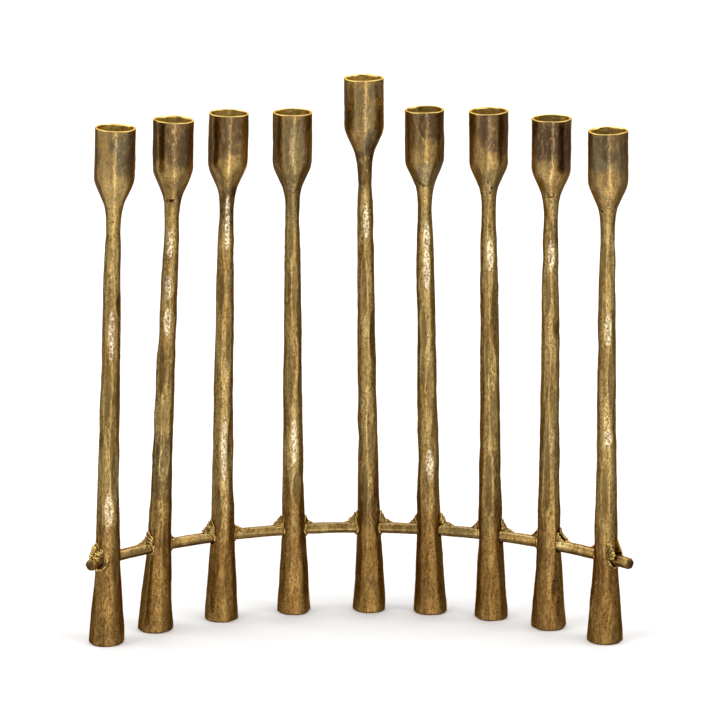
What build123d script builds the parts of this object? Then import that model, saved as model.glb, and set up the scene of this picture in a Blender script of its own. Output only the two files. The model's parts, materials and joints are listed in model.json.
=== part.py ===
"""Nine-light menorah: a row of brass candlesticks strung on one arc-shaped rod.

Eight lights and the taller helper light (the shamash) stand on their own feet. One rod, bent to a
horizontal arc, passes through a drilled hole in every stem and is brazed to it on both sides. Every
candlestick is a stem with a separate cup brazed to its neck.

Frame: millimetres, +Z up. X runs along the row, and the two ends of the arc come forward to -Y.
Z = 0 is the surface it stands on, and X = Y = 0 is the middle of the footprint.
"""

from build123d import *
import math
import os

# The arc rod
ROD_RADIUS = 3.6
ROD_HEIGHT = 60.0            # its centre line above the floor
ARC_RADIUS = 245.0           # bend of its centre line
ROD_LEFT_BEND_X = -174.5     # where the tighter bend of the left stub begins
ROD_LEFT_BEND_RADIUS = 45.0
ROD_LEFT_BEND_ANGLE = 22.0   # degrees
ROD_RIGHT_END_X = 184.5

# The drilled hole that the rod passes through, a loose fit filled with braze at its top
HOLE_RADIUS = 4.3

# Candle cups: a tube over a closed cone
CUP_LENGTH = 54.0
CUP_RADIUS = 13.5
TUBE_LENGTH = 35.5
SHOULDER_RADIUS = 7.0
SOCKET_RADIUS = 12.0         # takes a 22 mm taper candle
SOCKET_DEPTH = 32.0
SOCKET_TIP_DEPTH = 42.0
SOCKET_TIP_RADIUS = 3.0
JOINT_RADIUS = 6.4           # where the cup meets the stem

# Stems: (share of the stem's height, radius) above the foot, up to the thin neck
STEM_PROFILE = [
    (0.05, 10.5),
    (0.11, 9.3),
    (0.20, 7.9),
    (0.33, 7.1),
    (0.54, 6.4),
    (0.73, 5.9),
    (0.88, 5.3),
    (0.945, 4.7),
]
FOOT_ALLOWANCE = 3.0         # extra length below the floor, cut off flat after the stem is leaned

# Braze beads: a web in the corner between the rod's top and each side of a stem
BEAD_RUN = 6.0               # along the rod, from the stem's side
BEAD_RISE = 7.0              # up the stem, from the rod's top
BEAD_THICKNESS = 5.5
BEAD_ROOT_HEIGHT = 1.5       # its buried base above the rod's centre line

# One row per candlestick, from left to right:
# (name, X where the rod crosses it, lean in degrees towards +X, rim height, foot radius)
CANDLESTICKS = [
    ("1", -173.5, 2.0, 361.5, 12.0),
    ("2", -139.4, 2.6, 361.5, 12.0),
    ("3", -96.5, 1.4, 361.0, 11.8),
    ("4", -46.7, 0.1, 358.5, 11.4),
    ("shamash", 5.8, -0.6, 381.5, 11.4),
    ("5", 49.0, -1.0, 360.5, 11.3),
    ("6", 91.4, -0.8, 362.0, 11.3),
    ("7", 131.1, -0.4, 361.0, 11.9),
    ("8", 169.0, -0.7, 358.5, 12.2),
]


def rod_angle(x):
    """Angle of the rod's tangent, in degrees, where the rod crosses the given X."""
    return -math.degrees(math.asin(x / ARC_RADIUS))


def crossing(x):
    """Point on the rod's centre line at the given X, with the arc's centre on the Z axis."""
    return Vector(x, math.sqrt(ARC_RADIUS**2 - x**2), ROD_HEIGHT)


def leaned(shape, x, lean):
    """Move an upright shape, built on the Z axis, to its place on the rod and lean it sideways."""
    point = crossing(x)
    return Pos(point.X, point.Y, ROD_HEIGHT) * Rot(0, lean, 0) * Pos(0, 0, -ROD_HEIGHT) * shape


def make_rod():
    """The round rod: one long horizontal arc whose left stub curls in a little more."""
    right_angle = 90 + rod_angle(ROD_RIGHT_END_X)
    left_angle = 90 + rod_angle(ROD_LEFT_BEND_X)
    centre = (0, 0, ROD_HEIGHT)
    arc = CenterArc(centre, ARC_RADIUS, right_angle, left_angle - right_angle)
    stub = JernArc(arc @ 1, arc % 1, ROD_LEFT_BEND_RADIUS, ROD_LEFT_BEND_ANGLE)
    path = Wire([arc, stub])
    section = Plane(origin=path @ 0, z_dir=path % 0) * Circle(ROD_RADIUS)
    return sweep(section, path=path)


def make_stem(x, lean, rim_height, foot_radius):
    """A tapering stem with a flat foot, a flared top for the cup and a hole for the rod."""
    top = rim_height - CUP_LENGTH
    side_points = [(foot_radius, 0)]
    side_points += [(radius, share * top) for share, radius in STEM_PROFILE]
    side_points.append((JOINT_RADIUS, top))
    side = Spline(*side_points)
    outline = Wire([
        Line((0, -FOOT_ALLOWANCE), (foot_radius, -FOOT_ALLOWANCE)),
        Line((foot_radius, -FOOT_ALLOWANCE), (foot_radius, 0)),
        side,
        Line((JOINT_RADIUS, top), (0, top)),
        Line((0, top), (0, -FOOT_ALLOWANCE)),
    ])
    upright = revolve(Plane.XZ * make_face(outline), Axis.Z)
    stem = split(leaned(upright, x, lean), bisect_by=Plane.XY, keep=Keep.TOP)
    hole = Cylinder(HOLE_RADIUS, 4 * foot_radius, rotation=(0, 90, 0))
    return stem - Location(crossing(x), (0, 0, rod_angle(x))) * hole


def make_cup(x, lean, rim_height):
    """A candle cup: a thin tube with a blind socket, closed below by a cone."""
    corner = (CUP_RADIUS, -TUBE_LENGTH)
    outline = FilletPolyline(
        (CUP_RADIUS, 0), corner, (JOINT_RADIUS, -CUP_LENGTH), radius=SHOULDER_RADIUS
    )
    inside = Polyline(
        (JOINT_RADIUS, -CUP_LENGTH),
        (0, -CUP_LENGTH),
        (0, -SOCKET_TIP_DEPTH),
        (SOCKET_TIP_RADIUS, -SOCKET_TIP_DEPTH),
        (SOCKET_RADIUS, -SOCKET_DEPTH),
        (SOCKET_RADIUS, 0),
        (CUP_RADIUS, 0),
    )
    profile = make_face(Wire(outline.edges() + inside.edges()))
    cup = revolve(Plane.XZ * profile, Axis.Z)
    return leaned(Pos(0, 0, rim_height) * cup, x, lean)


def make_bead(x, side, stem, rod):
    """A braze web on one side of a stem: side is -1 for its left and +1 for its right."""
    stem_radius = STEM_PROFILE[2][1]
    inner = 0.5 * stem_radius
    outer = stem_radius + BEAD_RUN
    peak = ROD_RADIUS + BEAD_RISE
    hollow = (stem_radius + 0.3 * BEAD_RUN, ROD_RADIUS + 0.3 * BEAD_RISE)
    outline = Wire([
        Line((inner, BEAD_ROOT_HEIGHT), (outer, BEAD_ROOT_HEIGHT)),
        Line((outer, BEAD_ROOT_HEIGHT), (outer, ROD_RADIUS)),
        ThreePointArc((outer, ROD_RADIUS), hollow, (stem_radius, peak)),
        Line((stem_radius, peak), (inner, peak)),
        Line((inner, peak), (inner, BEAD_ROOT_HEIGHT)),
    ])
    web = extrude(Plane.XZ * make_face(outline), amount=BEAD_THICKNESS / 2, both=True)
    if side < 0:
        web = Rot(0, 0, 180) * web
    placed = Location(crossing(x), (0, 0, rod_angle(x))) * web
    return placed - stem - rod


def make_pieces():
    """Every piece by its node name, with the arc's centre on the Z axis."""
    rod = make_rod()
    pieces = {"arc_rod": rod}
    for name, x, lean, rim_height, foot_radius in CANDLESTICKS:
        stem = make_stem(x, lean, rim_height, foot_radius)
        pieces[f"stem_{name}"] = stem
        pieces[f"cup_{name}"] = make_cup(x, lean, rim_height)
        pieces[f"braze_{name}_left"] = make_bead(x, -1, stem, rod)
        pieces[f"braze_{name}_right"] = make_bead(x, 1, stem, rod)
    return pieces


def footprint_shift(pieces):
    """The move that brings the middle of the whole footprint to X = Y = 0."""
    whole = Compound([solid for piece in pieces.values() for solid in piece.solids()])
    centre = whole.bounding_box().center()
    return Vector(-centre.X, -centre.Y, 0)


def main():
    os.makedirs("parts", exist_ok=True)
    pieces = make_pieces()
    shift = footprint_shift(pieces)
    for name, piece in pieces.items():
        export_step(Pos(shift) * piece, f"parts/{name}.step")
    print("footprint shift", shift)


main()
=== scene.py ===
"""Rustic brass menorah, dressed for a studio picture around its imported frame."""

import json
import math

import bmesh
import bpy
import numpy as np
from bpy.props import FloatProperty, FloatVectorProperty, PointerProperty
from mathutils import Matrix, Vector


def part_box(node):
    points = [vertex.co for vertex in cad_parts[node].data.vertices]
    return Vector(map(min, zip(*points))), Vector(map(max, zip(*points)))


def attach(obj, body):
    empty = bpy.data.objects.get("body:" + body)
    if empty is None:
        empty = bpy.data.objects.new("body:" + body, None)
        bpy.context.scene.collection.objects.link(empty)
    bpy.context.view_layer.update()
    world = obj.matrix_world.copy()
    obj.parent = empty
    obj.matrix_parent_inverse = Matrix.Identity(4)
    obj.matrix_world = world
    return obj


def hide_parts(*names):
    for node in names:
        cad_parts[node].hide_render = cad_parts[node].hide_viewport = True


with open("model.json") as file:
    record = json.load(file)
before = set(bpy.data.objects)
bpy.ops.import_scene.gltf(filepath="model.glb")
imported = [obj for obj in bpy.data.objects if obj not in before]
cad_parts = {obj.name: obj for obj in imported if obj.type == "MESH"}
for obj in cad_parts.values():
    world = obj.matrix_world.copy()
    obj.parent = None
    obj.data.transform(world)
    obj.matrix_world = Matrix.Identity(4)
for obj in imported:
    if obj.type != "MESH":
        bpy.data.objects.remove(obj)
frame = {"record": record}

bl_info = {
    "name": "Brass menorah",
    "version": (1, 0, 0),
    "blender": (4, 5, 0),
    "location": "3D View > Sidebar > Menorah",
    "description": "Builds the hammered stems, candle cups, arc rod and braze beads of a brass menorah",
    "category": "Object",
}

MM = 0.001
NAMES = ["1", "2", "3", "4", "shamash", "5", "6", "7", "8"]

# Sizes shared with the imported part, in metres
CUP_LENGTH = 54 * MM
CUP_RADIUS = 13.5 * MM
TUBE_LENGTH = 35.5 * MM
SOCKET_RADIUS = 12 * MM
SOCKET_DEPTH = 32 * MM
SOCKET_TIP_DEPTH = 42 * MM
SOCKET_TIP_RADIUS = 3 * MM
JOINT_RADIUS = 6.4 * MM
RIM_HEIGHT = 0.6 * MM
ARC_RADIUS = 245 * MM
ROD_RADIUS = 3.6 * MM
ROD_GIRTH = 1.06
HOLE_RADIUS = 4.3 * MM
STUB_BEND_RADIUS = 45 * MM
STUB_BEND_ANGLE = math.radians(22)
STUB_BEND_X = -174.5 * MM
ROD_RIGHT_END_X = 184.5 * MM

# A stem's radius, in mm, at shares of its height, from the foot's edge to the cup's joint
STEM_SHARES = [0.0, 0.02, 0.05, 0.11, 0.20, 0.33, 0.54, 0.73, 0.88, 0.945, 0.972, 0.987, 1.0]
STEM_RADII = [12.2, 11.9, 11.1, 9.8, 8.2, 7.2, 6.4, 5.9, 5.3, 4.75, 5.1, 5.6, 6.4]

# A foot's nominal radius; each foot's real one comes from its node's box
FOOT_RADIUS = 12 * MM

# How far the flats and the hammer marks leave the bar's round skin standing, as shares of its radius
FLATS_OUT = 1.03
MARKS_OUT = 1.02

# Random hammer marks all round each stem
SMALL_MARKS = 26

# Stems that came out a little thicker than the others
STEM_GIRTH = {"1": 1.04, "3": 1.03, "5": 1.06, "6": 1.05, "shamash": 0.99}

# A point's turn about a stem, measured from its right-hand side, that faces the front
FRONT = -0.5 * math.pi

# Long hammer marks on the stems' fronts: (height mm, half length mm, degrees right of the front, depth share)
HAMMER_MARKS = {
    "1": [(241, 9, 66, 0.20), (219, 18, 4, 0.07), (178, 22, -14, 0.08),
          (96, 14, 5, 0.09), (140, 20, 22, 0.07)],
    "2": [(277, 11, 6, 0.12), (246, 9, 2, 0.11), (222, 10, 4, 0.11),
          (188, 18, -20, 0.09), (150, 22, 10, 0.07)],
    "3": [(285, 20, 4, 0.09), (236, 14, -28, 0.12), (196, 16, 24, 0.09),
          (125, 24, 6, 0.06), (80, 16, -18, 0.08)],
    "4": [(270, 14, -16, 0.12), (232, 20, 12, 0.08), (176, 24, -14, 0.08),
          (126, 16, 5, 0.07), (92, 12, 20, 0.09)],
    "shamash": [(282, 12, 5, 0.07), (238, 24, -13, 0.08), (200, 18, 46, 0.12),
                (130, 26, 16, 0.07), (92, 16, -22, 0.08)],
    "5": [(272, 11, 4, 0.13), (250, 15, 3, 0.12), (208, 16, -18, 0.09),
          (166, 18, 12, 0.09), (109, 12, 4, 0.10)],
    "6": [(263, 12, 5, 0.11), (226, 18, 34, 0.10), (190, 18, -14, 0.07),
          (146, 20, 15, 0.07), (98, 22, -12, 0.08)],
    "7": [(267, 11, 4, 0.10), (238, 12, -22, 0.10), (214, 8, 62, 0.20),
          (170, 24, 14, 0.08), (110, 24, -14, 0.07)],
    "8": [(272, 12, -34, 0.10), (222, 12, 4, 0.09), (186, 20, 20, 0.07),
          (147, 6, 4, 0.12), (108, 20, -12, 0.08)],
}

# A mark this near the front, in degrees, gets a painted highlight; the others get painted shade
BRIGHT_WITHIN = 7

# How a stem bows sideways, in mm to the right, at its foot, a third, two thirds and its neck
BOWS = {
    "1": (0.7, -0.1, -0.2, -0.2),
    "2": (-0.6, 0.2, 0.6, 1.3),
    "3": (0.6, -0.2, -0.8, -0.6),
    "4": (0.0, -0.4, -0.5, -0.4),
    "shamash": (0.1, 0.2, -0.1, 0.0),
    "5": (-0.6, -0.7, -0.6, -0.7),
    "6": (0.0, -0.4, -0.1, -0.4),
    "7": (0.2, -0.1, 0.1, -0.2),
    "8": (-0.7, -0.2, -0.4, 0.0),
}

# How far a cup's foot sits to the right of its stem's axis, in mm, where the cup was set on crooked
CUP_SETS = {"1": -0.1, "2": 1.1, "3": -0.4, "4": -0.5, "5": -0.3, "6": -0.3, "shamash": -0.2}

# Pits and folds at the necks:
# (height above the joint mm, degrees right of the front, width mm, height mm, depth mm)
NECK_PITS = {
    "1": [(-3.0, -62, 1.6, 3.0, 0.35)],
    "2": [(-1.0, -6, 1.7, 0.75, 1.3)],
    "3": [(1.0, 40, 1.0, 5.0, 0.3)],
    "4": [(0.5, 30, 1.2, 0.6, 0.4), (0.2, -15, 1.0, 0.5, 0.3)],
    "shamash": [(1.0, -50, 1.5, 4.0, 0.3)],
    "5": [(3.5, -34, 1.1, 1.1, 0.7), (2.0, -14, 1.4, 0.6, 0.5), (1.6, 14, 1.3, 0.5, 0.35)],
    "6": [(1.6, 18, 0.55, 0.55, 1.3), (-2.2, 8, 0.5, 0.5, 1.2), (6.5, -6, 0.6, 2.4, 0.25)],
    "7": [(0.6, -4, 2.0, 0.45, 0.55), (2.2, -22, 0.5, 1.4, 0.4), (2.2, 16, 0.5, 1.4, 0.35)],
    "8": [(-0.8, -44, 0.9, 0.8, 1.1), (3.0, 52, 0.9, 1.1, 1.0), (1.5, 10, 1.2, 0.5, 0.3)],
}

# Cups that came out a little wider than the others
CUP_GIRTH = {"1": 1.025, "2": 1.02}

# The kinds of stains, in the order in which they cover each other; the last kind also carries painted shade
# under the rod and along the feet's bottom edges, and darkens the rod's cut ends
STAIN_KINDS = ("rub", "heat", "grime", "soot_and_shade")

# Stains: kind -> (mm below the rim, degrees right of the front, size mm, strength)
STAINS = {
    "1": {
        "heat": [(14, -32, 12, 1.0), (26, -10, 9, 0.8), (4, -5, 8, 0.6)],
        "grime": [(12, 34, 11, 1.0), (24, 22, 6, 0.8), (18, -58, 5, 0.9)],
        "rub": [(40, 10, 10, 0.8), (60, 0, 12, 0.7)],
        "soot_and_shade": [(22, 60, 9, 0.6)],
    },
    "2": {
        "soot_and_shade": [(12, -40, 12, 0.8), (18, 35, 13, 0.9), (6, 10, 10, 0.6)],
        "heat": [(34, 30, 7, 0.4)],
        "rub": [(34, -25, 8, 0.5), (70, 0, 12, 0.6)],
        "grime": [(240, -10, 20, 0.8), (232, 40, 14, 0.7)],
    },
    "3": {
        "soot_and_shade": [(10, -10, 15, 0.8), (24, -50, 10, 0.7), (62, 50, 14, 0.9), (72, -60, 12, 0.7)],
        "rub": [(36, 20, 9, 0.6), (26, 40, 9, 0.5)],
        "heat": [(86, -40, 10, 0.6), (215, -30, 24, 0.7), (250, 20, 20, 0.5)],
    },
    "4": {
        "grime": [(20, -20, 16, 0.7), (40, 20, 12, 0.6), (60, 0, 12, 0.6)],
        "heat": [(10, 58, 8, 1.0), (30, -62, 7, 0.7), (262, -30, 14, 0.5)],
        "soot_and_shade": [(6, 40, 6, 0.6)],
    },
    "shamash": {
        "grime": [(42, 34, 9, 1.0), (8, 30, 5, 0.8), (24, 20, 8, 0.5), (20, -30, 14, 0.5)],
        "heat": [(28, -58, 9, 0.8), (58, -10, 8, 0.5)],
        "soot_and_shade": [(56, 30, 9, 0.8), (66, -50, 10, 0.8), (300, 50, 20, 0.6)],
    },
    "5": {
        "soot_and_shade": [(9, 28, 12, 1.0), (6, -40, 9, 0.7), (16, -30, 10, 0.5)],
        "heat": [(29, -38, 7, 0.9), (28, 0, 7, 0.8), (28, 40, 8, 1.0)],
        "grime": [(44, 0, 8, 0.7), (40, 50, 8, 0.7)],
        "rub": [(58, 0, 8, 0.5)],
    },
    "6": {
        "soot_and_shade": [(10, 20, 15, 1.0), (18, 50, 10, 0.8), (8, -30, 9, 0.6)],
        "heat": [(27, -52, 8, 0.8), (75, 30, 9, 0.8), (235, 10, 30, 0.5)],
        "grime": [(46, 10, 8, 0.5)],
    },
    "7": {
        "soot_and_shade": [(10, -15, 16, 1.0), (18, 40, 15, 1.0), (5, 30, 10, 0.8), (80, 50, 8, 0.7)],
        "rub": [(38, -20, 7, 0.6)],
        "heat": [(46, 30, 8, 0.5), (120, -30, 24, 0.6)],
        "grime": [(230, 20, 18, 0.5)],
    },
    "8": {
        "soot_and_shade": [(5, 0, 12, 0.7), (6, 50, 10, 0.6)],
        "grime": [(14, -34, 12, 1.0), (16, 44, 9, 0.8)],
        "heat": [(32, -34, 10, 0.9), (30, 20, 9, 0.5)],
        "rub": [(40, -30, 7, 0.4)],
    },
}


# ---------------------------------------------------------------- small tools


def field(points, size, seed):
    """Smooth random values from -1 to 1, with bumps about `size` metres across (one size or three)."""
    table = np.random.default_rng(seed).uniform(-1, 1, 8192)
    scaled = np.asarray(points) / np.asarray(size)
    cell = np.floor(scaled).astype(np.int64)
    part = scaled - cell
    part = part * part * (3 - 2 * part)
    total = np.zeros(scaled.shape[:-1])
    for dx in (0, 1):
        for dy in (0, 1):
            for dz in (0, 1):
                key = (cell[..., 0] + dx) * 73856093
                key ^= (cell[..., 1] + dy) * 19349663
                key ^= (cell[..., 2] + dz) * 83492791
                weight = np.abs(1 - dx - part[..., 0])
                weight = weight * np.abs(1 - dy - part[..., 1])
                weight = weight * np.abs(1 - dz - part[..., 2])
                total += weight * table[key % 8192]
    return total


def wander(along, size, seed):
    """Smooth random values along one direction."""
    points = np.stack([along, np.full_like(along, 0.37 * size), np.full_like(along, 0.61 * size)], -1)
    return field(points, size, seed)


def smooth_step(value, low, high):
    """0 below low, 1 above high, and a smooth rise between them."""
    share = np.clip((value - low) / (high - low), 0, 1)
    return share * share * (3 - 2 * share)


def curve_through(shares, values, at):
    """A smooth curve through the given points, read at new shares."""
    shares = np.asarray(shares, float)
    values = np.asarray(values, float)
    slopes = np.gradient(values, shares)
    at = np.asarray(at, float)
    index = np.clip(np.searchsorted(shares, at) - 1, 0, len(shares) - 2)
    width = shares[index + 1] - shares[index]
    t = (at - shares[index]) / width
    a = values[index] * (1 + 2 * t) * (1 - t) ** 2
    b = values[index + 1] * t * t * (3 - 2 * t)
    c = slopes[index] * width * t * (1 - t) ** 2
    d = slopes[index + 1] * width * t * t * (t - 1)
    return a + b + c + d


def flats(turn, along, count, seed, depth, size, start=None, power=60.0):
    """Radius factor of a bar with long flats that wander along it; its mean is 1."""
    rng = np.random.default_rng(seed)
    if start is None:
        start = rng.uniform(0, 2 * math.pi)
    total = np.ones(np.broadcast(turn, along).shape)
    for k in range(count):
        face = start + 2 * math.pi * (k + rng.uniform(-0.12, 0.12)) / count
        face = face + 0.22 * wander(along, size, seed * 31 + k)
        sink = depth * (0.85 + 0.5 * wander(along, 0.6 * size, seed * 57 + k))
        facing = np.clip(np.cos(turn - face), 0.05, None)
        total = total + ((1 - sink) / facing) ** (-power)
    shape = total ** (-1 / power)
    return shape / shape.mean()


def hammered(turn, along, marks, power=80.0):
    """Radius factor for lens-shaped hammer marks: (height, half length, turn, depth share, twist)."""
    total = np.ones(np.broadcast(turn, along).shape)
    for height, half, face, depth, twist in marks:
        s = (along - height) / half
        facing = np.clip(np.cos(turn - face - twist * np.clip(s, -1.5, 1.5)), 0.05, None)
        reach = np.clip((1 - depth * (1 - s * s)) / facing, 0.5, 3)
        total = total + reach ** (-power)
    return total ** (-1 / power)


def off_front(turn, degrees):
    """How far a turn is, the short way round, from a line that many degrees right of the front."""
    return (turn - FRONT - math.radians(degrees) + math.pi) % (2 * math.pi) - math.pi


def pitted(turn, height, radius, pits):
    """Depth of soft pits at given heights and turns."""
    depth = 0
    for level, degrees, width, tall, deep in pits:
        across = off_front(turn, degrees) * radius / (width * MM)
        depth = depth + deep * MM * np.exp(-(across ** 2 + ((height - level * MM) / (tall * MM)) ** 2))
    return depth


def full_turn(sides):
    """A row of even turns round an axis."""
    return np.linspace(0, 2 * math.pi, sides, endpoint=False)[None, :]


def on_tube(turn, radius, along):
    """Points on a straight upright tube, to read random fields at."""
    flat = 0 * along
    return np.stack([np.cos(turn) * radius + flat, np.sin(turn) * radius + flat, along + 0 * turn], -1)


def new_piece(name, points, faces, materials):
    """A mesh object from points and faces, smooth shaded, with its materials."""
    mesh = bpy.data.meshes.new(name)
    mesh.from_pydata(points.tolist(), [], faces)
    for material in materials:
        mesh.materials.append(material)
    mesh.validate()
    mesh.shade_smooth()
    piece = bpy.data.objects.new(name, mesh)
    bpy.context.scene.collection.objects.link(piece)
    return piece


def tube_faces(rings, sides):
    """Quads of a closed tube, with a fan at both ends about two extra last points."""
    faces = []
    for ring in range(rings - 1):
        low = ring * sides
        for k in range(sides):
            nxt = (k + 1) % sides
            faces.append((low + k, low + nxt, low + sides + nxt, low + sides + k))
    start = rings * sides
    last = (rings - 1) * sides
    for k in range(sides):
        nxt = (k + 1) % sides
        faces.append((start, nxt, k))
        faces.append((start + 1, last + k, last + nxt))
    return faces


def closed_tube(name, rings, materials):
    """A closed tube through rings of points; its two ends are capped at their middles."""
    count, sides = rings.shape[:2]
    ends = np.stack([rings[0].mean(0), rings[-1].mean(0)])
    points = np.concatenate([rings.reshape(-1, 3), ends])
    return new_piece(name, points, tube_faces(count, sides), materials)


def frozen(piece):
    """The piece with its modifiers made permanent."""
    bpy.context.view_layer.update()
    graph = bpy.context.evaluated_depsgraph_get()
    mesh = bpy.data.meshes.new_from_object(piece.evaluated_get(graph), depsgraph=graph)
    old = piece.data
    piece.modifiers.clear()
    piece.data = mesh
    bpy.data.meshes.remove(old)
    mesh.name = piece.name
    return piece


def mesh_vectors(mesh, key):
    """The places (co) or directions (normal) of a mesh's points, one row each."""
    values = np.empty(len(mesh.vertices) * 3, np.float32)
    mesh.vertices.foreach_get(key, values)
    return values.reshape(-1, 3).astype(float)


def spread(values, edges, count, rounds):
    """Averages values over neighbouring points, several times."""
    values = values.copy()
    share = np.bincount(edges.ravel(), minlength=count).astype(float)
    share[share == 0] = 1
    for _ in range(rounds):
        total = np.zeros_like(values)
        np.add.at(total, edges[:, 0], values[edges[:, 1]])
        np.add.at(total, edges[:, 1], values[edges[:, 0]])
        average = total / (share if values.ndim == 1 else share[:, None])
        values = 0.5 * values + 0.5 * average
    return values


def store(piece, name, values):
    """Keeps one number for each point of a piece, for its finish to read."""
    attribute = piece.data.attributes.new(name, "FLOAT", "POINT")
    attribute.data.foreach_set("value", np.asarray(values, np.float32))


def mark_wear_and_shading(piece, rounds=6, mute=1.0, gain=1.0):
    """Stores how proud each point stands of its neighbourhood, for lighter crests and darker hollows: partly
    rubbed edges and patina, partly painted highlight and painted shade.
    """
    mesh = piece.data
    points = mesh_vectors(mesh, "co")
    edges = np.empty(len(mesh.edges) * 2, np.int32)
    mesh.edges.foreach_get("vertices", edges)
    edges = edges.reshape(-1, 2)
    flat = spread(points, edges, len(points), rounds)
    proud = ((points - flat) * mesh_vectors(mesh, "normal")).sum(1)
    proud = spread(proud, edges, len(points), 1)
    middle = np.median(proud)
    scale = np.percentile(np.abs(proud - middle), 90) + 1e-9
    wear_and_shading = np.clip(0.35 * gain * (proud - middle) / scale, -0.5, 0.5)
    store(piece, "wear_and_shading", 0.5 + wear_and_shading * mute)


def stains_and_painted_light(piece, name):
    """Stores, for each point of a stem or a cup, how strongly stains cover it, with the painted shade in its
    neck pits, the painted highlight and shade on its hammer marks, and the painted contact shade along the
    foot's bottom edge.
    """
    foot, axis, length = candle_axis(name)
    right, back = around(axis)
    points = mesh_vectors(piece.data, "co")
    local = points - np.array(foot)
    along, across, behind = (local @ np.array(way) for way in (axis, right, back))
    below_rim = length - along
    above_joint = CUP_LENGTH - below_rim
    turn, radius = np.arctan2(behind, across), np.hypot(across, behind)
    # The neck pits are painted near-black: painted shade in the pits
    dark = pitted(turn, above_joint, np.maximum(radius, 1 * MM), NECK_PITS[name]) / (0.5 * MM)
    store(piece, "pit_shade", np.clip(dark, 0, 0.95))

    # Hammer marks facing the front get a painted highlight, the others painted shade, chosen by how far they
    # turn from the front
    facets = {"painted_highlight": np.zeros(len(points)), "shade": np.zeros(len(points))}
    for level, half, degrees, depth in HAMMER_MARKS[name]:
        s = (along - level * MM) / (half * MM)
        width = np.sqrt(np.clip(2 * depth * (1 - s * s), 1e-6, None))
        leaf = (1 - smooth_step(np.abs(off_front(turn, degrees)) / width, 0.70, 1.0)) * (np.abs(s) < 1)
        kind = "painted_highlight" if abs(degrees) < BRIGHT_WITHIN else "shade"
        facets[kind] = np.maximum(facets[kind], leaf)
    for kind, cover in facets.items():
        store(piece, kind, cover)

    ragged = field(points, 0.006, 900) + 0.6 * field(points, 0.0025, 901)
    height = points[:, 2]
    store(piece, "foot", 0.95 * (1 - smooth_step(height + 0.018 * ragged, 0.040, 0.125)))
    for kind in STAIN_KINDS:
        amount = np.zeros(len(points))
        for level, degrees, size, strength in STAINS[name].get(kind, []):
            away = np.hypot(off_front(turn, degrees) * radius, 0.8 * (below_rim - level * MM))
            near = away / (size * MM) + 0.22 * ragged
            amount = np.maximum(amount, strength * (1 - smooth_step(near, 0.7, 1.1)))
        # painted contact shade along the bottom edge, where the stem meets the floor
        if kind == "soot_and_shade":
            amount = np.maximum(amount, 0.95 * (1 - smooth_step(height, 0.4 * MM, 1.6 * MM)))
        store(piece, kind, amount)


def settle(piece, node):
    """Hangs a finished piece under the root empty and hides the CAD node that it stands for."""
    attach(piece, "root")
    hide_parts(node)
    return piece


def active_settings():
    """The sizes and colours in the sidebar."""
    return bpy.context.scene.menorah


# ------------------------------------------------------- places from the frame


def mount(name):
    """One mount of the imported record."""
    for found in frame["record"]["mounts"]:
        if found["name"] == name:
            return found
    raise RuntimeError(f"the frame has no mount named {name}")


def rod_level():
    """Height of the rod's centre line."""
    low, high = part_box("arc_rod")
    return 0.5 * (low.z + high.z)


def arc_centre():
    """Centre of the rod's long bend, seen from above."""
    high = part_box("arc_rod")[1]
    return Vector((0, high.y - ROD_RADIUS - ARC_RADIUS, rod_level()))


def candle_axis(name):
    """The foot's middle on the floor, the unit axis, and the length up to the rim."""
    socket = mount(f"socket_{name}")
    axis = Vector(socket["axis"]).normalized()
    middle = Vector(socket["pos_m"])
    foot = middle - axis * (middle.z / axis.z)
    return foot, axis, (middle - foot).length + SOCKET_DEPTH / 2


def crossing(name):
    """Where the rod goes through a stem, and the rod's direction there, towards +X."""
    foot, axis = candle_axis(name)[:2]
    point = foot + axis * (rod_level() / axis.z)
    out = (point - arc_centre()).normalized()
    return point, Vector((out.y, -out.x, 0)).normalized()


def around(axis):
    """Two directions square to an upright axis: one to the right, one to the back."""
    right = Vector((1, 0, 0))
    right = (right - axis * right.dot(axis)).normalized()
    return right, axis.cross(right)


# -------------------------------------------------------------------- materials


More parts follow.
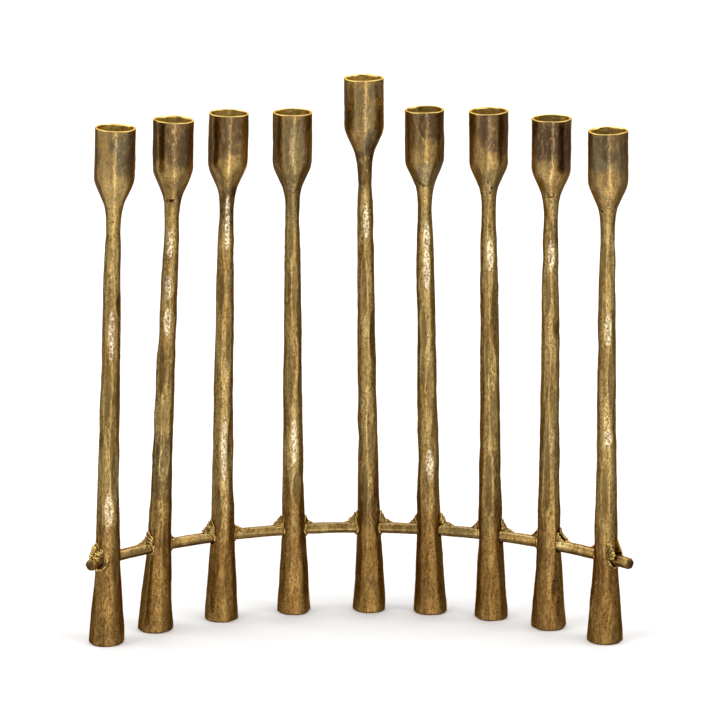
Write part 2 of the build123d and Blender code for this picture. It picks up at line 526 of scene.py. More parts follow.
class Graph:
    """Short ways to add shader nodes to one node tree."""

    def __init__(self, tree):
        self.nodes, self.links = tree.nodes, tree.links

    def put(self, socket, value):
        """Sets a socket to a number or a colour, or links it to another node's output."""
        if isinstance(value, bpy.types.NodeSocket):
            self.links.new(value, socket)
        elif isinstance(value, (int, float)):
            socket.default_value = value
        else:
            socket.default_value = (*value, 1)

    def math(self, operation, *values):
        node = self.nodes.new("ShaderNodeMath")
        node.operation = operation
        for socket, value in zip(node.inputs, values):
            self.put(socket, value)
        return node.outputs[0]

    def remap(self, value, low, high, to_low, to_high, kind="LINEAR"):
        node = self.nodes.new("ShaderNodeMapRange")
        node.interpolation_type = kind
        for socket, number in zip(node.inputs, (value, low, high, to_low, to_high)):
            self.put(socket, number)
        return node.outputs["Result"]

    def ramp(self, value, stops):
        node = self.nodes.new("ShaderNodeValToRGB")
        self.put(node.inputs["Fac"], value)
        colours = node.color_ramp.elements
        colours[0].position = stops[0][0]
        colours[-1].position = stops[-1][0]
        for place, colour in stops[1:-1]:
            colours.new(place)
        for element, (place, colour) in zip(colours, stops):
            element.color = (*colour, 1)
        return node.outputs["Color"]

    def mix(self, factor, first, second, kind="MIX"):
        node = self.nodes.new("ShaderNodeMix")
        node.data_type = "RGBA"
        node.blend_type = kind
        for key, value in (("Factor", factor), (6, first), (7, second)):
            self.put(node.inputs[key], value)
        return node.outputs[2]

    def attribute(self, name):
        node = self.nodes.new("ShaderNodeAttribute")
        node.attribute_name = name
        return node.outputs["Fac"]

    def grain(self, place, scale, detail, stretch, rough):
        """Noise in the piece's own space; scale is in bumps per metre."""
        mapping = self.nodes.new("ShaderNodeMapping")
        mapping.inputs["Scale"].default_value = stretch
        self.put(mapping.inputs["Vector"], place)
        noise = self.nodes.new("ShaderNodeTexNoise")
        self.put(noise.inputs["Vector"], mapping.outputs["Vector"])
        for key, value in (("Scale", scale), ("Detail", detail), ("Roughness", rough)):
            noise.inputs[key].default_value = value
        return noise.outputs["Fac"]

    def bump(self, height, distance, strength, normal):
        node = self.nodes.new("ShaderNodeBump")
        node.inputs["Strength"].default_value = min(1.0, strength)
        node.inputs["Distance"].default_value = distance
        self.put(node.inputs["Height"], height)
        if normal is not None:
            self.put(node.inputs["Normal"], normal)
        return node.outputs["Normal"]


# Noises of the patina: (bumps per metre, detail, stretch, roughness)
GRAINS = {
    "patches": (60, 5, (1, 1, 0.45), 0.6),
    "streaks": (480, 4, (1, 1, 0.09), 0.65),
    "sand": (700, 3, (1, 1, 0.75), 0.7),
    "glints": (560, 3, (1.1, 0.9, 0.4), 0.7),
    "fine": (1500, 2, (1, 1, 0.6), 0.6),
    "warm clouds": (30, 3, (1, 1, 0.6), 0.5),
    "tarnish": (38, 4, (1.3, 0.8, 0.5), 0.6),
}

# Share of the drawn streaks in the body colour
STREAK_SHARE = 0.4
COAT_ROUGHNESS = 0.13
# Brass seen at a glancing angle
GLANCING = (0.95, 0.52, 0.15)
# Near-black painted shade for the pits at the necks
PIT_SHADE_TONE = (0.015, 0.008, 0.003)


def patina(name, tones, rough, spots=0.4, pits=1.0, wear_and_sheen=1.0, coat=0.0):
    """Aged brass: a mottled body colour, drawn streaks, cast pits, stains, painted shade in the neck pits,
    painted highlight and shade on the hammer marks, and lighter crests and darker hollows, partly rubbed
    brass and patina, partly painted highlight and shade.
    `tones` holds the dark, body and light colours, and `spots` says how sandy the colour is; its pale specks
    are partly painted glints."""
    s = active_settings().finish
    dark, body, light = tones
    material = bpy.data.materials.new(name)
    material.use_nodes = True
    graph = Graph(material.node_tree)
    shader = graph.nodes["Principled BSDF"]
    shader.inputs["Metallic"].default_value = 1.0
    shader.inputs["Specular Tint"].default_value = (*GLANCING, 1)
    shader.inputs["Coat Weight"].default_value = coat
    shader.inputs["Coat Roughness"].default_value = COAT_ROUGHNESS
    place = graph.nodes.new("ShaderNodeTexCoord").outputs["Object"]
    noise = {key: graph.grain(place, *values) for key, values in GRAINS.items()}

    clouded = graph.ramp(noise["patches"], [(0.32, dark), (0.46, body), (0.70, light)])
    streaked = graph.ramp(noise["streaks"], [(0.36, dark), (0.50, body), (0.64, light)])
    colour = graph.mix(STREAK_SHARE, clouded, streaked)
    colour = graph.mix(graph.remap(noise["warm clouds"], 0.53, 0.66, 0.0, 0.45), colour, s.warm)
    colour = graph.mix(graph.remap(noise["tarnish"], 0.57, 0.68, 0.0, 0.6), colour, s.grime)
    veil = graph.remap(noise["patches"], 0.25, 0.55, 0.8, 1.0)
    for kind in STAIN_KINDS:
        amount = graph.math("MULTIPLY", graph.attribute(kind), veil)
        colour = graph.mix(amount, colour, getattr(s, kind))
    # near-black painted shade in the neck pits
    colour = graph.mix(graph.attribute("pit_shade"), colour, PIT_SHADE_TONE)

    grit = graph.remap(noise["sand"], 0.43, 0.52, spots, 0.0)
    colour = graph.mix(grit, colour, dark)
    # pale specks: partly the cast grain, partly painted glints
    glint = graph.remap(noise["glints"], 0.53, 0.62, 0.0, 0.5 * spots + 0.1)
    colour = graph.mix(glint, colour, light)
    # painted highlight on the front-facing hammer marks, painted shade on the others
    for kind, tone, low, high in (("painted_highlight", s.painted_highlight, 0.44, 0.58), ("shade", shaded(body, 0.45), 0.2, 0.5)):
        sparkle = graph.remap(noise["sand"], low, high, 0.05, 0.65)
        amount = graph.math("MULTIPLY", graph.attribute(kind), sparkle)
        colour = graph.mix(amount, colour, tone)

    # lighter crests and darker hollows: partly rubbed brass and patina, partly painted highlight and painted
    # shade
    wear_and_shading = graph.attribute("wear_and_shading")
    colour = graph.mix(graph.remap(wear_and_shading, 0.66, 0.97, 0.0, 0.7 * wear_and_sheen), colour, light)
    colour = graph.mix(graph.remap(wear_and_shading, 0.33, 0.03, 0.0, 0.85), colour, shaded(dark, 0.6))
    colour = graph.mix(graph.attribute("foot"), colour, s.foot, "MULTIPLY")
    graph.put(shader.inputs["Base Color"], colour)
    gloss = graph.remap(noise["patches"], 0.3, 0.7, rough + 0.08, rough - 0.05)
    graph.put(shader.inputs["Roughness"], gloss)

    coarse = graph.bump(noise["sand"], 0.30 * MM, 0.6 * pits, None)
    graph.put(shader.inputs["Normal"], graph.bump(noise["fine"], 0.12 * MM, 0.5 * pits, coarse))
    return material


def plain_material(name, colour, rough):
    """An even matt finish, for the floor."""
    material = bpy.data.materials.new(name)
    material.use_nodes = True
    shader = material.node_tree.nodes["Principled BSDF"]
    shader.inputs["Base Color"].default_value = (*colour, 1)
    shader.inputs["Roughness"].default_value = rough
    return material


def shaded(colour, factor):
    """A lighter or darker tone of a colour."""
    return tuple(factor * c for c in colour)


def brass(kind):
    """The finish of one group of pieces, made once."""
    name = f"brass_{kind}"
    if name in bpy.data.materials:
        return bpy.data.materials[name]
    s = active_settings().finish
    if kind == "stem":
        tones = (s.dark, s.body, s.light)
        return patina(name, tones, 0.29, spots=0.72, pits=1.5, coat=0.08)
    if kind == "cup":
        tones = (s.cup_dark, s.cup_body, s.cup_light)
        return patina(name, tones, 0.20, spots=0.42, pits=1.0, wear_and_sheen=0.6, coat=0.4)
    # the cups' insides: brighter gold tones, painted to stand in for the light caught inside them
    if kind == "lit_inside":
        tones = (shaded(s.gold, 0.75), s.gold, s.bright)
        return patina(name, tones, 0.34, spots=0.1, pits=0.4)
    if kind == "rod":
        tones = (shaded(s.dark, 0.6), shaded(s.warm, 0.52), shaded(s.light, 0.8))
        return patina(name, tones, 0.32, spots=0.3, pits=1.0, wear_and_sheen=1.3)
    if kind == "bead":
        tones = (shaded(s.heat, 0.13), shaded(s.body, 0.70), shaded(s.gold, 0.72))
        return patina(name, tones, 0.22, spots=0.4, pits=0.6, wear_and_sheen=1.3)
    # the walls of the rod's holes: near-black, painted shade in the gap round the rod
    if kind == "hole_shade":
        return patina(name, (shaded(s.hole_shade, 0.5), s.hole_shade, s.hole_shade), 0.6, spots=0.2)
    raise RuntimeError(f"no brass finish named {kind}")


# ------------------------------------------------------------------- properties


def colour_property(name, description, default):
    """A colour in the sidebar."""
    return FloatVectorProperty(
        name=name, description=description, default=default, subtype="COLOR", size=3, min=0, max=1
    )


class MenorahStemSettings(bpy.types.PropertyGroup):
    flat_depth: FloatProperty(
        name="Flat depth", description="How deep the hammered flats cut into a stem",
        default=0.105, min=0, max=0.3, subtype="FACTOR",
    )
    flat_length: FloatProperty(
        name="Flat length", description="How far a flat runs before it drifts or fades",
        default=0.060, min=0.01, unit="LENGTH",
    )
    dent_depth: FloatProperty(
        name="Dent depth", description="Depth of the shallow dents left by the hammer",
        default=0.0003, min=0, precision=5, unit="LENGTH",
    )
    grain_depth: FloatProperty(
        name="Grain depth", description="Height of the coarse cast grain",
        default=0.00009, min=0, precision=5, unit="LENGTH",
    )


class MenorahCupSettings(bpy.types.PropertyGroup):
    rim_wave: FloatProperty(
        name="Rim wave", description="How unevenly the rims are cut",
        default=0.0005, min=0, precision=5, unit="LENGTH",
    )
    dent_depth: FloatProperty(
        name="Dent depth", description="Depth of the dents in the cups' walls",
        default=0.00022, min=0, precision=5, unit="LENGTH",
    )


class MenorahRodSettings(bpy.types.PropertyGroup):
    ridge_height: FloatProperty(
        name="Ridge height", description="Height of the ragged ridge along the rod's top",
        default=0.0009, min=0, precision=5, unit="LENGTH",
    )


class MenorahBeadSettings(bpy.types.PropertyGroup):
    voxel: FloatProperty(
        name="Melt size", description="Smallest detail kept when the beads are melted together",
        default=0.00026, min=0.0001, precision=5, unit="LENGTH",
    )


class MenorahFinishSettings(bpy.types.PropertyGroup):
    dark: colour_property("Dark", "Dark brown in hollows and pits", (0.13, 0.066, 0.014))
    body: colour_property("Body", "Aged brass", (0.365, 0.235, 0.073))
    light: colour_property("Light", "Rubbed brass on flats and edges", (0.56, 0.41, 0.165))
    heat: colour_property("Heat tint", "Orange tint left by the torch", (0.60, 0.30, 0.085))
    warm: colour_property("Warm", "Faint golden-brown clouds", (0.36, 0.20, 0.048))
    grime: colour_property("Grime", "Grey-green tarnish", (0.155, 0.120, 0.055))
    # This dark tone also paints shade under the rod and along the feet's bottom edges, and darkens the rod's
    # cut ends
    soot_and_shade: colour_property("Soot", "Dark purple-brown patina", (0.085, 0.045, 0.017))
    rub: colour_property("Rub", "Patches rubbed back to gold", (0.55, 0.37, 0.12))
    # This tone is the painted highlight on the front-facing hammer marks and along the rod's top ridge
    painted_highlight: colour_property("Flash", "Facets rubbed bright by the last hammer blows", (0.88, 0.79, 0.58))
    # Gold and Bright also colour the cups' insides, painted brighter to stand in for the light caught in them
    gold: colour_property("Gold", "Bright braze and polished brass", (0.88, 0.62, 0.19))
    bright: colour_property("Bright", "Lightest tone inside the cups", (0.95, 0.72, 0.24))
    # near-black painted shade on the walls of the rod's holes
    hole_shade: colour_property("Bore", "Burnt brass in the rod's holes", (0.02, 0.012, 0.006))
    cup_dark: colour_property("Cup dark", "Darkest patina on the cups", (0.12, 0.064, 0.019))
    cup_body: colour_property("Cup body", "Brown patina on the cups", (0.355, 0.215, 0.060))
    cup_light: colour_property("Cup light", "Thinner patina on the cups", (0.47, 0.315, 0.11))
    foot: colour_property("Foot", "Red-brown veil low on the stems", (0.62, 0.50, 0.37))


class MenorahStageSettings(bpy.types.PropertyGroup):
    camera_distance: FloatProperty(
        name="Camera distance", description="From the row's middle to the camera, along the floor",
        default=2.550, min=0.5, unit="LENGTH", subtype="DISTANCE",
    )
    camera_height: FloatProperty(
        name="Camera height", description="Height of the camera above the floor",
        default=0.8714, min=0.1, unit="LENGTH", subtype="DISTANCE",
    )
    camera_pitch: FloatProperty(
        name="Camera pitch", description="How far the camera looks down",
        default=math.radians(14.92), subtype="ANGLE",
    )
    camera_lens: FloatProperty(
        name="Lens", description="Focal length in millimetres on a 36 mm sensor",
        default=192.4, min=20, subtype="DISTANCE_CAMERA",
    )
    floor_size: FloatProperty(
        name="Floor", description="Length of the floor's sides",
        default=12.0, min=2.0, unit="LENGTH", subtype="DISTANCE",
    )
    floor_colour: colour_property("Floor colour", "Colour of the pale floor", (0.80, 0.80, 0.80))


class MenorahSettings(bpy.types.PropertyGroup):
    stem: PointerProperty(type=MenorahStemSettings, name="Stems", description="Hammered stems")
    cup: PointerProperty(type=MenorahCupSettings, name="Cups", description="Candle cups")
    rod: PointerProperty(type=MenorahRodSettings, name="Rod", description="Arc rod")
    bead: PointerProperty(type=MenorahBeadSettings, name="Beads", description="Braze beads")
    finish: PointerProperty(type=MenorahFinishSettings, name="Finish", description="Brass colours")
    stage: PointerProperty(type=MenorahStageSettings, name="Stage", description="Camera and light")


# ------------------------------------------------------------------------ stems


def unrolled(heights, sides):
    """Turns and heights of a tube's points, one row for each height."""
    turn = full_turn(sides)
    return turn, heights * np.ones_like(turn)


def stem_marks(name, top, rng):
    """The stem's own hammer marks, then small ones all round: (height, half length, turn, depth, twist)."""
    marks = []
    for height, half, degrees, depth in HAMMER_MARKS[name]:
        marks.append((height * MM, half * MM, FRONT + math.radians(degrees), depth, rng.uniform(-0.15, 0.15)))
    for k in range(SMALL_MARKS):
        level = top * (k + rng.uniform(0.1, 0.9)) / SMALL_MARKS
        half = rng.uniform(9, 26) * MM
        face = 2.4 * k + rng.uniform(-0.4, 0.4)
        marks.append((level, half, face, rng.uniform(0.04, 0.12), rng.uniform(-0.25, 0.25)))
    return marks


def stem_radius(name, share):
    """The stem's round radius at shares of its height, before any hammering."""
    radius = curve_through(STEM_SHARES, STEM_RADII, share) * MM
    low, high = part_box(f"stem_{name}")
    foot_scale = 0.5 * (high.y - low.y) / FOOT_RADIUS
    radius = radius * (1 + (foot_scale - 1) * (1 - smooth_step(share, 0.0, 0.25)))
    girth = STEM_GIRTH.get(name, 1.0) - 1
    return radius * (1 + girth * (smooth_step(share, 0.05, 0.25) - smooth_step(share, 0.90, 0.98)))


def stem_rings(name):
    """Rings of points up the hammered stem, from its foot on the floor to its cup's joint."""
    s = active_settings().stem
    foot, axis, length = candle_axis(name)
    top = length - CUP_LENGTH
    right, back = around(axis)
    seed = 11 + NAMES.index(name)
    share = np.linspace(0, 1, 520)
    turn, along = unrolled((share * top)[:, None], 112)
    radius = stem_radius(name, share)[:, None]

    marks = stem_marks(name, top, np.random.default_rng(seed * 13))
    first_face = FRONT + math.radians(4)
    shape = FLATS_OUT * flats(turn, along, 6, seed, s.flat_depth, s.flat_length, start=first_face)
    shape = 1 + (shape - 1) * (0.45 + 0.55 * smooth_step(along, 0.015, 0.07))
    shape = np.minimum(shape, MARKS_OUT * hammered(turn, along, marks))
    shape = shape / shape.mean()
    fade = 1 - smooth_step(share, 0.955, 0.995)[:, None]
    shape = 1 + (shape - 1) * fade

    where = on_tube(turn, radius, along) + np.array([0.31 * seed, 0.17 * seed, 0])
    dents = field(where, (0.006, 0.006, 0.014), seed * 7 + 1)
    dents += 0.5 * field(where, (0.0035, 0.0035, 0.007), seed * 7 + 2)
    grains = field(where, (0.0018, 0.0018, 0.0030), seed * 7 + 3)
    pits = np.clip(field(where, (0.0017, 0.0017, 0.0026), seed * 7 + 5) - 0.78, 0, None)
    reach = radius * shape + fade * (s.dent_depth * dents + s.grain_depth * grains - 0.30 * MM * pits)
    rounding = np.clip(1 - along / (1.3 * MM), 0, 1)
    reach = reach - 1.04 * MM * (1 - np.sqrt(np.clip(1 - rounding ** 2, 0, 1)))
    reach = reach - pitted(turn, along - top, JOINT_RADIUS, NECK_PITS[name])

    sideways = [*BOWS[name], CUP_SETS.get(name, 0)]
    bow = curve_through([0, 0.33, 0.66, 0.93, 1.0], sideways, share)[:, None] * MM
    wobble = 0.12 * MM * wander(along[:, :1], 0.03, seed * 5 + 1) * fade
    lean_back = 0.4 * MM * wander(along[:, :1], 0.09, seed * 5 + 2) * fade
    local_x = np.cos(turn) * reach + bow + wobble
    local_y = np.sin(turn) * reach + lean_back
    points = np.stack([local_x, local_y, along], -1) @ np.array([right, back, axis]) + np.array(foot)
    # the foot is cut level with the floor, whatever the stem's lean
    sink = points[..., 2] - along
    points[..., 2] -= sink * (1 - smooth_step(along, 0.0, 0.02))
    return points


def drill(stem, name):
    """Cuts the rod's hole through a stem, a little wide and flared at its mouths; its walls take a near-black
    painted shade.
    """
    point, direction = crossing(name)
    side = Vector((0, 0, 1)).cross(direction)
    turn = full_turn(72)
    along = np.linspace(-0.016, 0.016, 60)[:, None]
    flare = 0.45 * MM * smooth_step(np.abs(along), 0.006, 0.009)
    uneven = 0.12 * MM * field(on_tube(turn, 0.004, along), 0.003, 90 + NAMES.index(name))
    reach = HOLE_RADIUS + flare + uneven
    sag = -0.40 * MM
    rings = (
        np.array(point)
        + along[..., None] * np.array(direction)
        + (np.cos(turn) * reach)[..., None] * np.array(side)
        + (np.sin(turn) * reach + sag)[..., None] * np.array([0, 0, 1.0])
    )
    # the hole's walls take the near-black finish: painted shade in the gap round the rod
    tool = closed_tube(f"drill_{name}", rings, [brass("hole_shade")])
    cut = stem.modifiers.new("hole", "BOOLEAN")
    cut.operation = "DIFFERENCE"
    cut.solver = "MANIFOLD"
    cut.object = tool
    cut.material_mode = "TRANSFER"
    frozen(stem)
    bpy.data.objects.remove(tool)
    if len(stem.data.polygons) < 1000:
        raise RuntimeError(f"the hole through stem {name} was not cut cleanly")


def calm_wear_and_shading(piece, name):
    """Share of the lighter crests and darker hollows to keep at each point: little at the foot and none where
    stem and cup meet.
    """
    foot, axis, length = candle_axis(name)
    points = mesh_vectors(piece.data, "co")
    along = (points - np.array(foot)) @ np.array(axis)
    off_joint = smooth_step(np.abs(along - (length - CUP_LENGTH)), 1.5 * MM, 4 * MM)
    calm_foot = 0.55 + 0.45 * smooth_step(points[:, 2], 60 * MM, 120 * MM)
    return off_joint * calm_foot * smooth_step(points[:, 2], 2 * MM, 4 * MM)


def make_stem(name):
    """One hammered stem, drilled and stained."""
    stem = closed_tube(f"hammered_stem_{name}", stem_rings(name), [brass("stem")])
    drill(stem, name)
    stem.data.set_sharp_from_angle(angle=math.radians(50))
    mark_wear_and_shading(stem, mute=calm_wear_and_shading(stem, name))
    stains_and_painted_light(stem, name)
    return settle(stem, f"stem_{name}")


# ------------------------------------------------------------------------- cups


# Where a row of a cup's outline is
CONE, TUBE, RIM, INSIDE = range(4)
CUP_SIDES = 144


def cup_outline():
    """Rows of a cup's skin, up the outside and down the inside: distance above the rim (negative),
    radius, and where the row is."""
    rows = []
    cone_top = -TUBE_LENGTH - 0.5 * MM
    cone_low = -CUP_LENGTH
    for t in np.linspace(0, 1, 72):
        swell = 0.62 * t + 0.38 * float(smooth_step(t, 0, 1))
        radius = JOINT_RADIUS + (CUP_RADIUS - JOINT_RADIUS) * swell
        rows.append((cone_low + (cone_top - cone_low) * t, radius, CONE))
    for t in np.linspace(0, 1, 92)[1:]:
        rows.append((cone_top + (-RIM_HEIGHT - cone_top) * t, CUP_RADIUS, TUBE))
    half_wall = 0.5 * (CUP_RADIUS - SOCKET_RADIUS)
    for angle in np.linspace(0.15, math.pi - 0.15, 9):
        height = -RIM_HEIGHT + RIM_HEIGHT * math.sin(angle)
        rows.append((height, CUP_RADIUS - half_wall + half_wall * math.cos(angle), RIM))
    for t in np.linspace(0, 1, 64):
        rows.append((-RIM_HEIGHT - (SOCKET_DEPTH - RIM_HEIGHT) * t, SOCKET_RADIUS, INSIDE))
    for t in np.linspace(0, 1, 16)[1:]:
        height = -SOCKET_DEPTH - (SOCKET_TIP_DEPTH - SOCKET_DEPTH) * t
        rows.append((height, SOCKET_RADIUS + (SOCKET_TIP_RADIUS - SOCKET_RADIUS) * t, INSIDE))
    table = np.array(rows)
    # the shoulder is rounded by averaging the outside's radius over a short window
    window = 1.8 * MM
    outside = table[:, 2] <= TUBE
    heights, radii = table[outside, 0], table[outside, 1]
    smooth = np.array([
        np.average(radii, weights=np.exp(-((heights - h) / window) ** 2)) for h in heights
    ])
    off_joint = smooth_step(heights, cone_low, cone_low + 8 * MM)
    off_rim = 1 - smooth_step(heights, -8 * MM, -4 * MM)
    table[outside, 1] = radii + (smooth - radii) * np.minimum(off_joint, off_rim)
    return table


def cup_rings(name):
    """Rings of points along the cup's outline, dented, seamed and with a hand-filed rim."""
    s = active_settings().cup
    foot, axis, length = candle_axis(name)
    rim = np.array(foot + axis * length)
    right, back = around(axis)
    seed = 211 + NAMES.index(name)
    table = cup_outline()
    turn, height = unrolled(table[:, :1], CUP_SIDES)
    radius = table[:, 1:2] * np.ones_like(turn)
    inside = smooth_step(table[:, 2:3], RIM, INSIDE)
    outside = 1 - inside
    where = on_tube(turn, radius, height) + np.array([0.23 * seed, 0.11 * seed, 0])
    on_wall = smooth_step(height, -TUBE_LENGTH - 4 * MM, -TUBE_LENGTH + 4 * MM)
    off_joint = smooth_step(height, -CUP_LENGTH, -CUP_LENGTH + 4 * MM)
    tube_flats = flats(turn, height, 11, seed, 0.006, 0.030)
    cone_flats = flats(turn, height, 7, seed + 40, 0.045, 0.020)
    shape = tube_flats * on_wall + cone_flats * (1 - on_wall)
    shape = 1 + (shape - 1) * off_joint * outside
    oval = CUP_GIRTH.get(name, 1.0) + 0.008 * np.cos(2 * turn + seed)
    dents = field(where, (0.007, 0.007, 0.011), seed * 3 + 1) + 0.4 * field(where, 0.003, seed * 3 + 2)
    grains = field(where, 0.0014, seed * 3 + 3)
    reach = radius * shape * (1 + (oval - 1) * on_wall)
    reach += s.dent_depth * dents * off_joint + 0.03 * MM * grains
    reach += inside * 0.22 * MM * field(where * np.array([1, 1, 0.3]), 0.008, seed * 3 + 4)
    # a faint seam where the tube was closed onto its cone
    seam_height = -TUBE_LENGTH - 1.5 * MM + 1.2 * MM * np.cos(turn + seed)
    seam = np.exp(-((height - seam_height) / (0.35 * MM)) ** 2)
    reach -= 0.14 * MM * seam * outside * smooth_step(np.sin(turn + 2 * seed), -0.6, 0.4)
    reach -= outside * pitted(turn, height + CUP_LENGTH, JOINT_RADIUS, NECK_PITS[name])
    # the rim was cut and filed by hand
    ring = np.stack([np.cos(turn) * 0.013, np.sin(turn) * 0.013, 0 * turn], -1) + 0.19 * seed
    wave = field(ring, 0.011, seed * 3 + 5) + 0.5 * field(ring, 0.005, seed * 3 + 6)
    nick = np.clip(field(ring, 0.0022, seed * 3 + 7) - 0.55, 0, None)
    lift = 0.55 * s.rim_wave * wave - 0.9 * MM * nick * smooth_step(height, -2 * MM, 0)
    lift = lift * smooth_step(height, -9 * MM, 0)
    crooked = CUP_SETS.get(name, 0) * MM * smooth_step(-height, 0, CUP_LENGTH)
    local = np.stack([np.cos(turn) * reach + crooked, np.sin(turn) * reach, height + lift], -1)
    return local @ np.array([right, back, axis]) + rim


def make_cup(name):
    """One candle cup, brown outside, and brighter inside, painted to stand in for the light caught in it."""
    cup = closed_tube(f"candle_cup_{name}", cup_rings(name), [brass("cup"), brass("lit_inside")])
    table = cup_outline()
    bright_from = int(np.argmax(table[:, 2] >= RIM)) + 1
    quads = (len(table) - 1) * CUP_SIDES
    index = np.zeros(len(cup.data.polygons), np.int32)
    index[bright_from * CUP_SIDES:quads] = 1
    # the closing fans take turns: first the joint's end, then the socket's tip
    index[quads + 1::2] = 1
    cup.data.polygons.foreach_set("material_index", index)
    mark_wear_and_shading(cup, mute=calm_wear_and_shading(cup, name))
    stains_and_painted_light(cup, name)
    return settle(cup, f"cup_{name}")


# -------------------------------------------------------------------------- rod


def rod_path(step=0.7 * MM):
    """Points and directions along the rod's centre line, from the left stub to the right end."""
    centre = arc_centre()
    left = math.asin(STUB_BEND_X / ARC_RADIUS)
    right = math.asin(ROD_RIGHT_END_X / ARC_RADIUS)
    points, ways = [], []
    start = centre + Vector((math.sin(left), math.cos(left), 0)) * ARC_RADIUS
    way = Vector((-math.cos(left), math.sin(left), 0))
    inward = Vector((-way.y, way.x, 0))
    hub = start + inward * STUB_BEND_RADIUS
    for t in np.linspace(1, 0, int(STUB_BEND_RADIUS * STUB_BEND_ANGLE / step)):
        angle = STUB_BEND_ANGLE * t
        spoke = -inward * math.cos(angle) + way * math.sin(angle)
        points.append(hub + spoke * STUB_BEND_RADIUS)
        ways.append(-(way * math.cos(angle) + inward * math.sin(angle)))
    count = int(ARC_RADIUS * (right - left) / step)
    for angle in np.linspace(left, right, count)[1:]:
        points.append(centre + Vector((math.sin(angle), math.cos(angle), 0)) * ARC_RADIUS)
        ways.append(Vector((math.cos(angle), -math.sin(angle), 0)))
    return np.array(points), np.array(ways)


def make_rod():
    """The bent round rod, with its casting ridge along the top and its cut ends."""
    s = active_settings().rod
    points, ways = rod_path()
    gaps = np.linalg.norm(np.diff(points, axis=0), axis=1)
    along = np.concatenate([[0], np.cumsum(gaps)])[:, None]
    total = along[-1, 0]
    turn = full_turn(64)
    seed = 401
    shape = flats(turn, along, 6, seed, 0.09, 0.045, start=math.radians(150))
    where = on_tube(turn, ROD_RADIUS, along) + 0.13
    reach = ROD_GIRTH * ROD_RADIUS * shape
    reach += 0.16 * MM * field(where, (0.004, 0.004, 0.008), seed + 1)
    reach += 0.07 * MM * field(where, 0.0014, seed + 2)
    crest = 0.5 * math.pi + 0.42 + 0.14 * wander(along, 0.02, seed + 3)
    ridge = np.exp(-(((turn - crest) * ROD_RADIUS) / (0.75 * MM)) ** 2)
    ragged = 0.65 + 0.5 * wander(along, 0.004, seed + 4) + 0.35 * field(where, 0.0011, seed + 5)
    reach += s.ridge_height * ridge * np.clip(ragged, 0.1, None)
    end = np.minimum(along, total - along)
    rounding = 1 - smooth_step(end, 0, 0.8 * MM)
    reach -= 0.45 * MM * rounding
    side = np.cross(np.array([0, 0, 1.0]), ways)
    rings = (
        points[:, None, :]
        + (np.cos(turn) * reach)[..., None] * side[:, None, :]
        + (np.sin(turn) * reach)[..., None] * np.array([0, 0, 1.0])
    )
    rod = closed_tube("cast_arc_rod", rings, [brass("rod")])
    off_ends = np.append((smooth_step(end, 0.8 * MM, 1.6 * MM) + 0 * turn).ravel(), [0, 0])
    mark_wear_and_shading(rod, mute=off_ends)
    # painted highlight along the rod's ragged top ridge
    bright = np.clip(1.3 * ridge * np.clip(ragged, 0, 1), 0, 1) * (1 - rounding)
    store(rod, "painted_highlight", np.append(bright.ravel(), [0, 0]))
    # painted shade under the rod; its cut ends are darkened too
    under = 0.75 * smooth_step(-np.sin(turn), 0.35, 0.85) + 0 * along
    cut_end = 1 - smooth_step(end, 0.05 * MM, 0.5 * MM)
    store(rod, "soot_and_shade", np.append(np.maximum(under, 0.9 * cut_end).ravel(), [0.9, 0.9]))
    return settle(rod, "arc_rod")


# ------------------------------------------------------------------ braze beads

# Webs of one bead: (ribs, rise mm, run mm, half thickness mm, rib mm, mm towards the back, hollow share)
WEBS = {
    ("1", -1): [(9, 11.5, 7.0, 2.4, 2.0, 1.0, 0.1), (7, 6.5, 7.0, 2.4, 1.8, -2.6, 0.0)],
    ("1", 1): [(6, 5.5, 5.0, 1.6, 1.6, 0.6, 0.5)],
    ("2", -1): [(6, 10.5, 11.0, 2.8, 1.5, 0.0, 0.5), (4, 7.5, 4.5, 2.0, 1.2, -2.6, 0.2)],
    ("2", 1): [(5, 7.0, 5.5, 2.2, 1.5, 0.6, 0.4)],
    ("3", -1): [(8, 11.3, 9.4, 2.5, 0.65, 0.0, 0.35), (6, 8.1, 5.5, 1.8, 0.70, -2.2, 0.2)],
    ("3", 1): [(6, 10.2, 7.7, 1.2, 1.2, 1.8, 0.5), (5, 6.2, 6.6, 1.6, 1.6, -1.6, 0.4)],
    ("4", -1): [(8, 10.0, 8.8, 2.6, 0.65, 0.0, 0.35), (6, 6.9, 5.5, 1.8, 0.70, -2.0, 0.2)],
    ("4", 1): [(6, 8.8, 6.6, 2.2, 1.6, 0.2, 0.5)],
    ("shamash", -1): [(7, 10.5, 8.4, 2.8, 0.90, 0.0, 0.3)],
    ("shamash", 1): [(6, 11.2, 10.0, 2.0, 1.6, 0.4, 0.5)],
    ("5", -1): [(6, 10.0, 7.2, 2.2, 1.8, 0.0, 0.3)],
    ("5", 1): [(7, 11.2, 9.4, 2.0, 1.6, 0.2, 0.5)],
    ("6", -1): [(6, 9.5, 7.7, 2.4, 1.9, 0.0, 0.4)],
    ("6", 1): [(7, 12.0, 10.0, 2.2, 1.7, 0.2, 0.5)],
    ("7", -1): [(6, 8.8, 6.0, 2.6, 1.9, -0.4, 0.35)],
    ("7", 1): [(6, 11.5, 8.4, 1.1, 1.3, 1.8, 0.4), (5, 8.5, 7.0, 1.1, 1.3, -1.8, 0.4)],
    ("8", -1): [(5, 7.5, 7.0, 2.2, 1.7, 0.2, 0.4)],
    ("8", 1): [(6, 12.5, 5.0, 1.2, 1.6, 2.8, 0.2), (8, 10.5, 6.0, 1.6, 1.7, -5.4, 0.0)],
}

